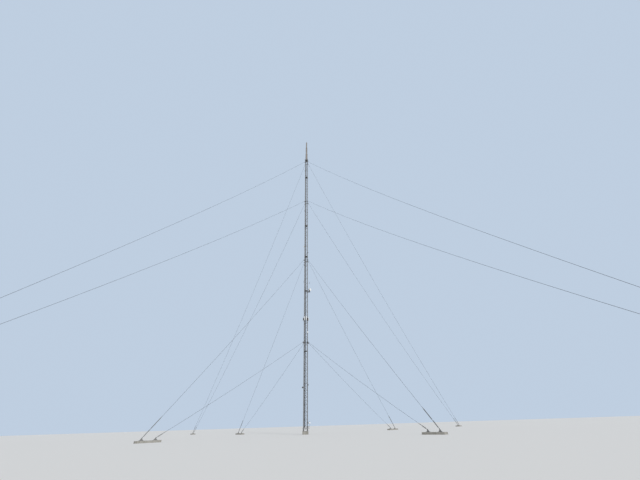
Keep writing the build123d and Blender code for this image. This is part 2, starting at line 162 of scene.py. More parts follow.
def weather_group():
    """Broad patches, streaks that run down, and fine grain, for any surface left outdoors."""
    tree, given, leave = new_tree(
        "weather",
        "ShaderNodeTree",
        (
            ("Clean colour", "NodeSocketColor", (0.5, 0.5, 0.5, 1)),
            ("Stain colour", "NodeSocketColor", (0.2, 0.2, 0.2, 1)),
            ("Stain amount", "NodeSocketFloat", 0.5),
            ("Patch scale", "NodeSocketFloat", 20),
            ("Streak scale", "NodeSocketFloat", 60),
            ("Grain scale", "NodeSocketFloat", 900),
            ("Roughness low", "NodeSocketFloat", 0.4),
            ("Roughness high", "NodeSocketFloat", 0.7),
        ),
        (
            ("Colour", "NodeSocketColor"),
            ("Roughness", "NodeSocketFloat"),
            ("Height", "NodeSocketFloat"),
        ),
    )
    place = add_node(tree, "ShaderNodeTexCoord").outputs["Object"]
    stretch = add_node(tree, "ShaderNodeMapping", {"Vector": place, "Scale": (1, 1, 0.06)})
    patch = add_node(tree, "ShaderNodeTexNoise", {
        "Vector": place, "Scale": given["Patch scale"], "Detail": 6, "Roughness": 0.62,
    })
    streak = add_node(tree, "ShaderNodeTexNoise", {
        "Vector": stretch.outputs["Vector"], "Scale": given["Streak scale"], "Detail": 4,
    })
    grain = add_node(tree, "ShaderNodeTexNoise", {
        "Vector": place, "Scale": given["Grain scale"], "Detail": 3,
    })
    both = add_maths(tree, "MULTIPLY", patch.outputs["Fac"], streak.outputs["Fac"])
    stained = add_node(tree, "ShaderNodeValToRGB", {"Fac": both})
    stained.color_ramp.elements[0].position = 0.17
    stained.color_ramp.elements[1].position = 0.42
    amount = add_maths(tree, "MULTIPLY", stained.outputs["Color"], given["Stain amount"])
    mix = tree.nodes.new("ShaderNodeMix")
    mix.data_type = "RGBA"
    feed(tree, mix, {"Factor": amount, "A": given["Clean colour"], "B": given["Stain colour"]})
    speckle = add_node(tree, "ShaderNodeMapRange", {
        "Value": grain.outputs["Fac"], "To Min": 0.86, "To Max": 1.12,
    })
    tint = add_node(tree, "ShaderNodeVectorMath", {
        "Vector": mix.outputs["Result"], "Scale": speckle.outputs["Result"],
    }, "SCALE")
    rough = add_node(tree, "ShaderNodeMapRange", {
        "Value": streak.outputs["Fac"],
        "To Min": given["Roughness low"], "To Max": given["Roughness high"],
    })
    feed(tree, leave, {
        "Colour": tint.outputs["Vector"], "Roughness": rough.outputs["Result"],
        "Height": grain.outputs["Fac"],
    })
    return tree


weather = weather_group()


def outdoor(name, clean, stain, amount, patch, streak, grain, rough, metallic=0.0, bump=0.0002):
    """Material of one weathered finish, with its wear and its bumps in nodes of those names."""
    material = bpy.data.materials.new(name)
    material.use_nodes = True
    tree = material.node_tree
    worn = tree.nodes.new("ShaderNodeGroup")
    worn.name = "worn"
    worn.node_tree = weather
    feed(tree, worn, {
        "Clean colour": (*clean, 1), "Stain colour": (*stain, 1), "Stain amount": amount,
        "Patch scale": patch, "Streak scale": streak, "Grain scale": grain,
        "Roughness low": rough[0], "Roughness high": rough[1],
    })
    bumps = add_node(tree, "ShaderNodeBump", {
        "Height": worn.outputs["Height"], "Strength": 0.6, "Distance": bump,
    })
    bumps.name = "bumps"
    feed(tree, tree.nodes["Principled BSDF"], {
        "Base Color": worn.outputs["Colour"], "Roughness": worn.outputs["Roughness"],
        "Normal": bumps.outputs["Normal"], "Metallic": metallic,
    })
    return material


concrete = outdoor(
    "concrete", clean=(0.37, 0.36, 0.33), stain=(0.19, 0.18, 0.15), amount=0.7,
    patch=9, streak=30, grain=420, rough=(0.82, 0.97), bump=0.0006,
)
tree = concrete.node_tree
place = add_node(tree, "ShaderNodeTexCoord").outputs["Object"]
boards = add_node(tree, "ShaderNodeTexWave", {"Vector": place, "Scale": 9, "Distortion": 0.15})
boards.bands_direction = "Z"
boards.wave_profile = "SAW"
air_holes = add_node(tree, "ShaderNodeTexVoronoi", {"Vector": place, "Scale": 160})
pitted = add_node(tree, "ShaderNodeMapRange", {
    "Value": air_holes.outputs["Distance"], "From Min": 0.06, "From Max": 0.20,
})
relief = add_maths(tree, "MULTIPLY_ADD", boards.outputs["Fac"], 0.35, pitted.outputs["Result"])
relief = add_maths(tree, "ADD", relief, tree.nodes["worn"].outputs["Height"])
feed(tree, tree.nodes["bumps"], {"Height": relief})


def dress(names, material):
    """Gives these CAD nodes the material in every slot."""
    for name in names:
        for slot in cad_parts[name].material_slots:
            slot.material = material


dress(("foundation_plinth", "inner_anchor_blocks", "outer_anchor_blocks"), concrete)

# Base shoes and their bolts
# A thick steel plate under each leg, welded to sloping gussets, and held down by four long bolts
# with a washer and a nut each.
fittings_steel = outdoor(
    "forged fittings", clean=(0.28, 0.28, 0.28), stain=(0.15, 0.12, 0.09), amount=0.55,
    patch=45, streak=120, grain=2400, rough=(0.42, 0.68), metallic=0.3,
)
dress(("base_shoes", "anchor_plates"), fittings_steel)


def add_bar(bm, start, end, radius, sides=8):
    """Round bar between two points, with closed ends."""
    start, end = Vector(start), Vector(end)
    run = end - start
    turn = run.to_track_quat("Z", "Y").to_matrix().to_4x4()
    bmesh.ops.create_cone(
        bm, cap_ends=True, segments=sides, radius1=radius, radius2=radius, depth=run.length,
        matrix=Matrix.Translation((start + end) / 2) @ turn,
    )


def smooth_over(mesh, angle):
    """Shades the mesh smooth, but for edges sharper than this angle in degrees."""
    mesh.polygons.foreach_set("use_smooth", [True] * len(mesh.polygons))
    mesh.set_sharp_from_angle(angle=math.radians(angle))


def as_object(bm, name, smooth=None):
    """Turns the mesh into an object at the origin, with its faces outwards."""
    bmesh.ops.recalc_face_normals(bm, faces=list(bm.faces))
    mesh = bpy.data.meshes.new(name)
    bm.to_mesh(mesh)
    bm.free()
    if smooth is not None:
        smooth_over(mesh, smooth)
    made = bpy.data.objects.new(name, mesh)
    scene.collection.objects.link(made)
    return made


def fix(piece, material=None, hides=()):
    """Lets the piece ride on the mast and its CAD nodes, and gives its finish."""
    if material is not None:
        piece.data.materials.clear()
        piece.data.materials.append(material)
    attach(piece, "root")
    if hides:
        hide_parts(*hides)
    return piece


def end_tree(tree, leave, geometry, finish):
    """Ends a tree: its instances are made real and given their finish."""
    real = add_node(tree, "GeometryNodeRealizeInstances", {"Geometry": geometry})
    finished = add_node(tree, "GeometryNodeSetMaterial", {
        "Geometry": real.outputs["Geometry"], "Material": finish,
    })
    feed(tree, leave, {"Geometry": finished.outputs["Geometry"]})


def repeat_tree():
    """One piece repeated in a straight row, and the row repeated in turns about an axis."""
    tree, given, leave = new_tree(
        "rows and turns",
        "GeometryNodeTree",
        (
            ("Piece", "NodeSocketObject", None),
            ("Finish", "NodeSocketMaterial", None),
            ("Count", "NodeSocketInt", 1),
            ("Start", "NodeSocketVector", (0, 0, 0)),
            ("Step", "NodeSocketVector", (0, 0, 0)),
            ("Turns", "NodeSocketInt", 1),
            ("Turn angle", "NodeSocketFloat", 0.0),
            ("Tilt", "NodeSocketVector", (0, 0, 0)),
            ("Centre", "NodeSocketVector", (0, 0, 0)),
        ),
        (("Geometry", "NodeSocketGeometry"),),
    )
    piece = add_node(tree, "GeometryNodeObjectInfo", {"Object": given["Piece"]})
    row = add_node(tree, "GeometryNodeMeshLine", {
        "Count": given["Count"], "Start Location": given["Start"], "Offset": given["Step"],
    })
    along = add_node(tree, "GeometryNodeInstanceOnPoints", {
        "Points": row.outputs["Mesh"], "Instance": piece.outputs["Geometry"],
    })
    middle = add_node(tree, "GeometryNodeMeshLine", {
        "Count": given["Turns"], "Offset": (0, 0, 0),
    })
    number = add_node(tree, "GeometryNodeInputIndex").outputs["Index"]
    spin = add_node(tree, "ShaderNodeCombineXYZ", {
        "Z": add_maths(tree, "MULTIPLY", number, given["Turn angle"]),
    })
    around = add_node(tree, "GeometryNodeInstanceOnPoints", {
        "Points": middle.outputs["Mesh"], "Instance": along.outputs["Instances"],
        "Rotation": spin.outputs["Vector"],
    })
    put = add_node(tree, "GeometryNodeTransform", {
        "Geometry": around.outputs["Instances"],
        "Translation": given["Centre"], "Rotation": given["Tilt"],
    })
    end_tree(tree, leave, put.outputs["Geometry"], given["Finish"])
    return tree


def grow(tree, name, **values):
    """Runs a tree with these inputs and keeps the result as a plain mesh object."""
    carrier = bpy.data.objects.new(name, bpy.data.meshes.new(name))
    scene.collection.objects.link(carrier)
    modifier = carrier.modifiers.new("made", "NODES")
    modifier.node_group = tree
    for item in tree.interface.items_tree:
        label = item.name.replace(" ", "_").lower()
        if item.in_out == "INPUT" and label in values:
            modifier[item.identifier] = values[label]
    shape = bpy.data.meshes.new_from_object(
        carrier.evaluated_get(bpy.context.evaluated_depsgraph_get())
    )
    carrier.modifiers.remove(modifier)
    carrier.data = shape
    shape.name = name
    return carrier


repeat = repeat_tree()


def repeated(name, material, parts, hides=()):
    """Joins several rows of templates into one piece; each part is (template, inputs)."""
    joined = bmesh.new()
    for number, (template, values) in enumerate(parts):
        made = grow(repeat, f"{name}_{number}", piece=template, finish=material, **values)
        joined.from_mesh(made.data)
        bpy.data.objects.remove(made)
    mesh = bpy.data.meshes.new(name)
    joined.to_mesh(mesh)
    joined.free()
    mesh.materials.append(material)
    for template in {template for template, values in parts}:
        bpy.data.objects.remove(template)
    piece = bpy.data.objects.new(name, mesh)
    scene.collection.objects.link(piece)
    return fix(piece, hides=hides)


def hex_bolt(name, radius, head, shank):
    """Hexagon nut on a washer, standing on Z 0, with a bolt end above it."""
    washer_top = head * 0.3
    nut_top = head * 1.3
    bm = bmesh.new()
    add_bar(bm, (0, 0, 0), (0, 0, washer_top), radius * 1.45, 10)
    add_bar(bm, (0, 0, washer_top), (0, 0, nut_top), radius, 6)
    add_bar(bm, (0, 0, nut_top), (0, 0, nut_top + shank), radius * 0.55, 6)
    return as_object(bm, name)


half_side = 0.0740
leg_flange = 0.0150
leg_line = half_side - leg_flange / 2
shoe_top = 0.090
bolt_spread = 0.0165
bolt_lines = (leg_line - bolt_spread, leg_line + bolt_spread)
four_sides = {"turns": 4, "turn_angle": math.pi / 2}
shoe_bolt = hex_bolt("shoe_bolt", radius=0.0034, head=0.0035, shank=0.008)
parts = []
for across in bolt_lines:
    for along in bolt_lines:
        parts.append((shoe_bolt, {"start": (across, along, shoe_top), **four_sides}))
repeated("shoe_bolts", fittings_steel, parts)

# Column legs, lacing and cross bars
# Hot-dip galvanised angles at the four corners with zigzag flats bolted inside them, and at every
# joint a level bar, a small gusset plate and its bolts. The zinc has gone dull and blotchy.
galvanised = outdoor(
    "galvanised steel", clean=(0.24, 0.245, 0.25), stain=(0.13, 0.122, 0.115), amount=0.6,
    patch=26, streak=90, grain=1500, rough=(0.42, 0.68), metallic=0.25,
)
tree = galvanised.node_tree
place = add_node(tree, "ShaderNodeTexCoord").outputs["Object"]
spangle = add_node(tree, "ShaderNodeTexVoronoi", {"Vector": place, "Scale": 700})
flakes = add_node(tree, "ShaderNodeMapRange", {
    "Value": spangle.outputs["Color"], "To Min": 0.90, "To Max": 1.08,
})
tinted = add_node(tree, "ShaderNodeVectorMath", {
    "Vector": tree.nodes["worn"].outputs["Colour"], "Scale": flakes.outputs["Result"],
}, "SCALE")
feed(tree, tree.nodes["Principled BSDF"], {"Base Color": tinted.outputs["Vector"]})
lattice_nodes = [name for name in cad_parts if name.startswith(("leg_", "lacing_"))]
dress(lattice_nodes + ["climbing_ladder", "feeder_tray"], galvanised)


def add_box(bm, low, high, turn=Matrix()):
    """Box between two corners, turned by a matrix where one is given."""
    low, high = Vector(low), Vector(high)
    place = Matrix.Translation((low + high) / 2) @ Matrix.Diagonal((*(high - low), 1))
    bmesh.ops.create_cube(bm, size=1, matrix=turn @ place)


def add_skin(bm, rings):
    """Closed solid over rings of points. A ring at either end may be a single point."""
    rings = [[bm.verts.new(point) for point in ring] for ring in rings]
    for low, high in zip(rings, rings[1:]):
        count = max(len(low), len(high))
        for k in range(count):
            after = (k + 1) % count
            if len(low) == 1:
                bm.faces.new((low[0], high[after], high[k]))
            elif len(high) == 1:
                bm.faces.new((low[k], low[after], high[0]))
            else:
                bm.faces.new((low[k], low[after], high[after], high[k]))
    for ring in (rings[0], rings[-1]):
        if len(ring) > 1:
            bm.faces.new(ring)


bay = 0.110
bay_count = 126
column_foot = shoe_top
leg_thickness = 0.002
lacing_thickness = 0.001
lacing_face = half_side - leg_thickness - lacing_thickness
bar_reach = 0.0692
bar_thickness = 0.0009
bar_half_width = 0.003
flange_reach = 0.0045


def level_bar(name, flanged):
    """Level bar inside one side of the column: a flat, or an angle with its flange inwards."""
    bm = bmesh.new()
    back = lacing_face - bar_thickness
    add_box(bm, (back, -bar_reach, -bar_half_width), (lacing_face, bar_reach, bar_half_width))
    if flanged:
        flange_end = bar_reach - 0.005
        flange_low = (lacing_face - flange_reach, -flange_end, bar_half_width - bar_thickness)
        add_box(bm, flange_low, (back, flange_end, bar_half_width))
    return as_object(bm, name)


joints = {"count": bay_count + 1, "start": (0, 0, column_foot), "step": (0, 0, bay), "turns": 2}
repeated("level_bars", galvanised, (
    (level_bar("angle_bar", True), {**joints, "turn_angle": -math.pi / 2}),
    (level_bar("flat_bar", False), {
        **joints, "turn_angle": math.pi / 2, "tilt": (0, 0, math.pi / 2),
    }),
))

plate_back = half_side - leg_thickness
plate_front = plate_back + 0.0012


def joint_plate(hand):
    """Gusset plate beside the leg's edge, on one hand, with its bolts and those of the leg."""
    bm = bmesh.new()
    outline = (
        (0.0589, -0.0120), (0.0589, 0.0120), (0.0505, 0.0100),
        (0.0435, 0.0040), (0.0435, -0.0040), (0.0505, -0.0100),
    )
    add_skin(bm, [
        [(out, hand * across, up) for across, up in outline] for out in (plate_back, plate_front)
    ])
    for across, up in ((0.0470, 0), (0.0550, 0.0058), (0.0550, -0.0058)):
        seat = Vector((plate_front, hand * across, up))
        add_bar(bm, seat, seat + Vector((0.0010, 0, 0)), 0.0014, 6)
    for across, up in ((0.0635, -0.0045), (0.0635, 0.0045), (0.0695, 0)):
        seat = Vector((half_side, hand * across, up))
        add_bar(bm, seat, seat + Vector((0.0012, 0, 0)), 0.0015, 6)
    return as_object(bm, f"joint_plate_{'left' if hand < 0 else 'right'}")


every_second = {"step": (0, 0, 2 * bay), **four_sides}
repeated("joint_plates", galvanised, (
    (joint_plate(-1), {
        "count": bay_count // 2 + 1, "start": (0, 0, column_foot), **every_second,
    }),
    (joint_plate(1), {
        "count": bay_count // 2, "start": (0, 0, column_foot + bay), **every_second,
    }),
))

# Leg splices and plan bracing
# Each leg is a run of angles joined by bolted cover plates every fifth bay, and half a bay above
# them two flat bars cross the column from corner to corner and keep it square.
cover_out = half_side + 0.0013
cover_edge = 0.0600
cover_reach = 0.026
cover_bolt_line = 0.0695
head_out = cover_out + 0.0012
bm = bmesh.new()
add_box(bm, (half_side, cover_edge, -cover_reach), (cover_out, cover_out, cover_reach))
add_box(bm, (cover_edge, half_side, -cover_reach), (half_side, cover_out, cover_reach))
for up in (-0.020, -0.012, -0.004, 0.004, 0.012, 0.020):
    add_bar(bm, (cover_out, cover_bolt_line, up), (head_out, cover_bolt_line, up), 0.0014, 6)
    add_bar(bm, (cover_bolt_line, cover_out, up), (cover_bolt_line, head_out, up), 0.0014, 6)
cover = as_object(bm, "cover")
brace_reach = 0.0967
bm = bmesh.new()
for turn, lift in ((math.pi / 4, 0.0006), (-math.pi / 4, -0.0006)):
    add_box(
        bm, (-brace_reach, -0.0025, lift - 0.0005), (brace_reach, 0.0025, lift + 0.0005),
        Matrix.Rotation(turn, 4, "Z"),
    )
add_bar(bm, (0, 0, 0.0011), (0, 0, 0.0022), 0.0016, 6)
cross_bars = as_object(bm, "cross_bars")
every_fifth = {"count": bay_count // 5, "step": (0, 0, 5 * bay)}
repeated("leg_splices", galvanised, (
    (cover, {"start": (0, 0, column_foot + 2.5 * bay), **every_fifth, **four_sides}),
    (cross_bars, {"start": (0, 0, column_foot + 3 * bay), **every_fifth}),
))

# Ladder rungs
# Round steel rungs, as thick as a thumb, welded between the ladder's two rails every 30 cm of the
# real mast, from the shoes up to the head. They are galvanised with the rails.
ladder_line = -0.0675
rung_reach = 0.0188
rung_count = 460
first_rung = 0.115
rung_spacing = 0.030
bm = bmesh.new()
add_bar(bm, (ladder_line, -rung_reach, 0), (ladder_line, rung_reach, 0), 0.0011, 8)
rung = as_object(bm, "rung", smooth=40)
repeated("ladder_rungs", galvanised, (
    (rung, {"count": rung_count, "start": (0, 0, first_rung), "step": (0, 0, rung_spacing)}),
))

# Feeder cables and their clamps
# Three corrugated coaxial feeders in black polythene jackets climb the tray, and a galvanised
# clamp bar holds them down once a bay.
cable_jacket = outdoor(
    "cable jacket", clean=(0.030, 0.030, 0.032), stain=(0.085, 0.08, 0.072), amount=0.6,
    patch=30, streak=60, grain=1800, rough=(0.45, 0.62),
)


def lay_along(tree):
    """The tube's own attribute: X and Y of the turn round it, and Z of the length along it."""
    lay = add_node(tree, "ShaderNodeAttribute")
    lay.attribute_name = "lay"
    return add_node(tree, "ShaderNodeSeparateXYZ", {"Vector": lay.outputs["Vector"]}).outputs


ripple_pitch = 0.004
tree = cable_jacket.node_tree
ripple = add_maths(tree, "MULTIPLY", lay_along(tree)["Z"], 2 * math.pi / ripple_pitch)
feed(tree, tree.nodes["bumps"], {"Height": add_maths(tree, "SINE", ripple)})


def tube_tree():
    """Round tube along a line, which keeps the turn round it and the length along it."""
    tree, given, leave = new_tree(
        "tube along a line",
        "GeometryNodeTree",
        (
            ("Line", "NodeSocketObject", None),
            ("Finish", "NodeSocketMaterial", None),
            ("Radius", "NodeSocketFloat", 0.002),
            ("Sides", "NodeSocketInt", 10),
        ),
        (("Geometry", "NodeSocketGeometry"),),
    )
    line = add_node(tree, "GeometryNodeObjectInfo", {"Object": given["Line"]})
    length = add_node(tree, "GeometryNodeSplineParameter").outputs["Length"]
    keep_length = tree.nodes.new("GeometryNodeCaptureAttribute")
    keep_length.capture_items.new("FLOAT", "length")
    feed(tree, keep_length, {"Geometry": line.outputs["Geometry"], "length": length})
    ring = add_node(tree, "GeometryNodeCurvePrimitiveCircle", {
        "Resolution": given["Sides"], "Radius": given["Radius"],
    })
    spot = add_node(tree, "GeometryNodeInputPosition").outputs["Position"]
    outward = add_node(tree, "ShaderNodeVectorMath", {0: spot}, "NORMALIZE")
    keep_turn = tree.nodes.new("GeometryNodeCaptureAttribute")
    keep_turn.capture_items.new("VECTOR", "turn")
    feed(tree, keep_turn, {
        "Geometry": ring.outputs["Curve"], "turn": outward.outputs["Vector"],
    })
    tube = add_node(tree, "GeometryNodeCurveToMesh", {
        "Curve": keep_length.outputs["Geometry"], "Profile Curve": keep_turn.outputs["Geometry"],
        "Fill Caps": True,
    })
    turned = add_node(tree, "ShaderNodeSeparateXYZ", {"Vector": keep_turn.outputs["turn"]})
    lay = add_node(tree, "ShaderNodeCombineXYZ", {
        "X": turned.outputs["X"], "Y": turned.outputs["Y"], "Z": keep_length.outputs["length"],
    })
    store = tree.nodes.new("GeometryNodeStoreNamedAttribute")
    store.data_type = "FLOAT_VECTOR"
    store.domain = "POINT"
    feed(tree, store, {
        "Name": "lay", "Geometry": tube.outputs["Mesh"], "Value": lay.outputs["Vector"],
    })
    end_tree(tree, leave, store.outputs["Geometry"], given["Finish"])
    return tree


tube = tube_tree()


def tubes(name, material, lines, radius, sides, hides=()):
    """One piece of round tubes, a tube for each list of points."""
    curve = bpy.data.curves.new(name + "_line", "CURVE")
    curve.dimensions = "3D"
    for points in lines:
        spline = curve.splines.new("POLY")
        spline.points.add(len(points) - 1)
        for point, place in zip(spline.points, points):
            point.co = (*place, 1)
    line = bpy.data.objects.new(name + "_line", curve)
    scene.collection.objects.link(line)
    piece = grow(tube, name, line=line, finish=material, radius=radius, sides=sides)
    bpy.data.objects.remove(line)
    smooth_over(piece.data, 50)
    return fix(piece, hides=hides)


feeder_line = 0.0650
feeder_foot = 0.19
feeder_radius = 0.0045
feeder_lines = []
for across, top in ((-0.04533, 3.9), (-0.0340, 5.3), (-0.02267, 13.6)):
    feeder_lines.append([(across, feeder_line, z) for z in (feeder_foot, top / 2, top)])
tubes(
    "feeders", cable_jacket, feeder_lines, feeder_radius, sides=14,
    hides=("feeder_cables",),
)
clamp_left, clamp_right = -0.0510, -0.0170
clamp_front, clamp_foot = 0.0592, 0.0695
clamp_side = 0.0010
clamp_reach = 0.0014
clamp_count = 121
first_clamp = 0.255
bm = bmesh.new()
add_box(
    bm, (clamp_left, clamp_front, -clamp_reach), (clamp_right, clamp_front + 0.0011, clamp_reach)
)
for across in (clamp_left, clamp_right - clamp_side):
    add_box(
        bm, (across, clamp_front, -clamp_reach), (across + clamp_side, clamp_foot, clamp_reach)
    )
for across in (-0.0397, -0.0283):
    add_bar(bm, (across, clamp_front, 0), (across, clamp_front - 0.0010, 0), 0.0012, 6)
clamp = as_object(bm, "clamp")
repeated("feeder_clamps", galvanised, (
    (clamp, {"count": clamp_count, "start": (0, 0, first_clamp), "step": (0, 0, bay)}),
))

# Stay collars
# A welded box frame round the column at each stay level, painted dark grey, with ribs between its
# plates, and a thick lug plate out of each corner that takes the stay's pin.
dark_steel = outdoor(
    "dark steel", clean=(0.066, 0.070, 0.075), stain=(0.14, 0.095, 0.06), amount=0.4,
    patch=40, streak=110, grain=2000, rough=(0.45, 0.7),
)
collar_nodes = [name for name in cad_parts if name.startswith("stay_collar")]
dress(collar_nodes, dark_steel)
collar_levels = [column_foot + bays * bay for bays in (26, 60, 94, 124)]
collar_width = 0.012
collar_half_height = 0.008
collar_face = half_side + collar_width
plate_in = 0.0725
plate_out = collar_face + 0.0017
collar_plate = 0.0012
bolt_line = half_side + collar_width / 2
bm = bmesh.new()
for along in (-0.072, -0.046, -0.016, 0.016, 0.046, 0.072):
    add_box(bm, (collar_face, along - 0.001, -0.0065), (plate_out, along + 0.001, 0.0065))
for low in (collar_half_height, -collar_half_height - collar_plate):
    add_box(bm, (plate_in, -plate_out, low), (plate_out, plate_out, low + collar_plate))
bolt_height = 0.0014
bolt_top = collar_half_height + collar_plate + bolt_height
for along in (-0.076, -0.051, -0.026, 0.026, 0.051, 0.076):
    for low in (bolt_top - bolt_height, -bolt_top):
        add_bar(bm, (bolt_line, along, low), (bolt_line, along, low + bolt_height), 0.0019, 6)
collar_side = as_object(bm, "collar_side")
repeated("collar_ribs", dark_steel, [
    (collar_side, {**four_sides, "centre": (0, 0, level)}) for level in collar_levels
])

# Stays
# Sixteen galvanised steel strands, greased dark, run taut with a slight sag from the lugs of the
# four collars down to the anchors, four to a level.
steel_rope = outdoor(
    "steel rope", clean=(0.070, 0.072, 0.076), stain=(0.04, 0.037, 0.033), amount=0.6,
    patch=6, streak=40, grain=1800, rough=(0.35, 0.55), metallic=0.5, bump=0.0004,
)
strand_count = 6
strand_pitch = 0.0075
tree = steel_rope.node_tree
lay = lay_along(tree)
around = add_maths(tree, "ARCTAN2", lay["Y"], lay["X"])
twist = add_maths(
    tree, "MULTIPLY_ADD", lay["Z"], 2 * math.pi / strand_pitch,
    add_maths(tree, "MULTIPLY", around, strand_count),
)
feed(tree, tree.nodes["bumps"], {"Height": add_maths(tree, "SINE", twist)})

lug_length = 0.022
lug_reach = collar_face * math.sqrt(2) + lug_length
pin_height = 0.090
# Horizontal pull over weight per length, which sets the sag
stay_flatness = 66.9
# Per level: where its line meets the ground, radius of its rope, length of its rigging
stay_rows = (
    (4.730, 0.0026, 0.210), (4.960, 0.0028, 0.530), (10.640, 0.0033, 0.420), (10.760, 0.0033, 0.420),
)
socket_end = 0.072
link_start = 0.026
rope_bite = 0.004
rope_clear = 0.05
lanes = [math.radians(angle) for angle in (45, 135, 225, 315)]


def stay_points(height, ground, runs):
    """Points of one stay in its own upright plane, on its shallow curve from pin to pin."""
    top = Vector((lug_reach, 0, height))
    foot = Vector((ground - pin_height * (ground - lug_reach) / height, 0, pin_height))
    sag = (foot.x - top.x) * (foot - top).length / (8 * stay_flatness)
    points = []
    for step in range(runs + 1):
        share = step / runs
        points.append(top.lerp(foot, share) - Vector((0, 0, 4 * sag * share * (1 - share))))
    return points


stay_ends = []
for number, (height, (ground, radius, link)) in enumerate(zip(collar_levels, stay_rows), 1):
    coarse = stay_points(height, ground, 6)
    pin, foot = coarse[0], coarse[-1]
    down = (coarse[1] - pin).normalized()
    up = (coarse[-2] - foot).normalized()
    stay_ends.append((pin, down, foot, up, radius, link))
    start = pin + down * (socket_end - rope_bite)
    end = foot + up * (link_start + link - rope_bite)
    route = [start]
    for point in stay_points(height, ground, 36):
        if start.z - rope_clear > point.z > end.z + rope_clear:
            route.append(point)
    route.append(end)
    lines = []
    for lane in lanes:
        turn = Matrix.Rotation(lane, 3, "Z")
        lines.append([turn @ point for point in route])
    tubes(
        f"stay_ropes_{number}", steel_rope, lines, radius, sides=10,
        hides=(f"stays_level_{number}",),
    )


# Sockets at the collars
# Each stay ends in a forged open socket: two ears on a pin through the lug, and a tapered basket
# that the strand is cast into with zinc.
def add_lathe(bm, outline, sides=24, place=Matrix()):
    """Closed round solid from (radius, height) points, about Z, and then placed by a matrix."""
    rings = []
    for radius, height in outline:
        turns = [2 * math.pi * k / sides for k in range(sides if radius else 1)]
        ring = [Vector((radius * math.cos(turn), radius * math.sin(turn), height)) for turn in turns]
        rings.append([place @ point for point in ring])
    add_skin(bm, rings)


ear_radius = 0.0080
ear_thickness = 0.003


def fork_head(bm, slot):
    """Two ears, the yoke that joins them, and the pin with its head, nut and split pin."""
    outline = [(ear_radius, 0.0215), (-ear_radius, 0.0215)]
    for k in range(9):
        turn = math.pi + math.pi * k / 8
        outline.append((ear_radius * math.cos(turn), ear_radius * math.sin(turn)))
    wide = slot / 2 + ear_thickness
    for hand in (-1, 1):
        add_skin(bm, [[(x, y, z) for y, z in outline] for x in (hand * slot / 2, hand * wide)])
    add_box(bm, (-wide, -ear_radius, 0.0200), (wide, ear_radius, 0.0262))
    nut_end = wide + 0.0032
    split_pin = wide + 0.0022
    add_bar(bm, (-wide - 0.0012, 0, 0), (wide + 0.0012, 0, 0), 0.0030, 12)
    add_bar(bm, (wide, 0, 0), (nut_end, 0, 0), 0.0048, 6)
    add_bar(bm, (-split_pin, 0, 0), (-wide, 0, 0), 0.0044, 12)
    add_bar(bm, (split_pin, 0, -0.0058), (split_pin, 0, 0.0058), 0.0005, 5)


def end_matrix(pin, direction, lane):
    """Places a fitting's own axes on a pin: Z along the stay and X across its lane."""
    across = Vector((0, 1, 0))
    local = Matrix((across, direction.cross(across), direction)).transposed().to_4x4()
    return Matrix.Rotation(lane, 4, "Z") @ Matrix.Translation(pin) @ local


def at_stays(name, material, rows, hides):
    """One piece of end fittings; each row is a shape, its pin and its direction in a lane."""
    joined = bmesh.new()
    for template, pin, direction in rows:
        for lane in lanes:
            copy = template.data.copy()
            copy.transform(end_matrix(pin, direction, lane))
            joined.from_mesh(copy)
            bpy.data.meshes.remove(copy)
        bpy.data.objects.remove(template)
    fix(as_object(joined, name, smooth=35), material, hides)


rows = []
for pin, down, foot, up, radius, link in stay_ends:
    bm = bmesh.new()
    fork_head(bm, slot=0.0056)
    add_lathe(bm, (
        (0.0062, 0.0255), (0.0074, 0.028), (0.0074, 0.033), (0.0066, 0.036), (0.0062, 0.046),
        (0.0050, 0.060), (0.0046, 0.066), (0.0052, 0.068), (0.0052, socket_end),
        (radius * 1.1, socket_end + 0.0015),
    ), 20)
    rows.append((as_object(bm, "socket"), pin, down))
at_stays("stay_sockets", fittings_steel, rows, ("upper_stay_sockets",))

# Rigging at the anchors
# The lower end of each stay has a socket, a pair of coupling plates, and a long rigging screw with
# two flat side bars that sets its tension. Its fork sits on the pin of the anchor plate.
rigging_steel = outdoor(
    "rigging steel", clean=(0.20, 0.205, 0.21), stain=(0.11, 0.10, 0.085), amount=0.5,
    patch=40, streak=90, grain=2200, rough=(0.42, 0.64), metallic=0.25,
)
body_start = 0.046
longest_body = 0.170
collar_length = 0.012
thread_length = 0.045
thread_radius = 0.0034
basket_length = 0.062
basket = (
    (0.0040, 0), (0.0066, 0.012), (0.0074, 0.016), (0.0074, 0.022), (0.0060, 0.034), (0.0048, 0.050),
)


def add_side_plates(bm, middle, thickness, reach, low, high):
    """Two flat bars beside the line of the stay, a little apart."""
    for hand in (-1, 1):
        inner = hand * middle - thickness / 2
        add_box(bm, (inner, -reach, low), (inner + thickness, reach, high))


def add_coupling_pin(bm, up):
    """Pin across the coupling plates, with the eye that it holds, its head and its nut."""
    for left, right, radius, sides in (
        (-0.0040, 0.0040, 0.0050, 12), (-0.0084, 0.0084, 0.0026, 10),
        (0.0064, 0.0090, 0.0042, 6), (-0.0088, -0.0064, 0.0040, 12),
    ):
        add_bar(bm, (left, 0, up), (right, 0, up), radius, sides)


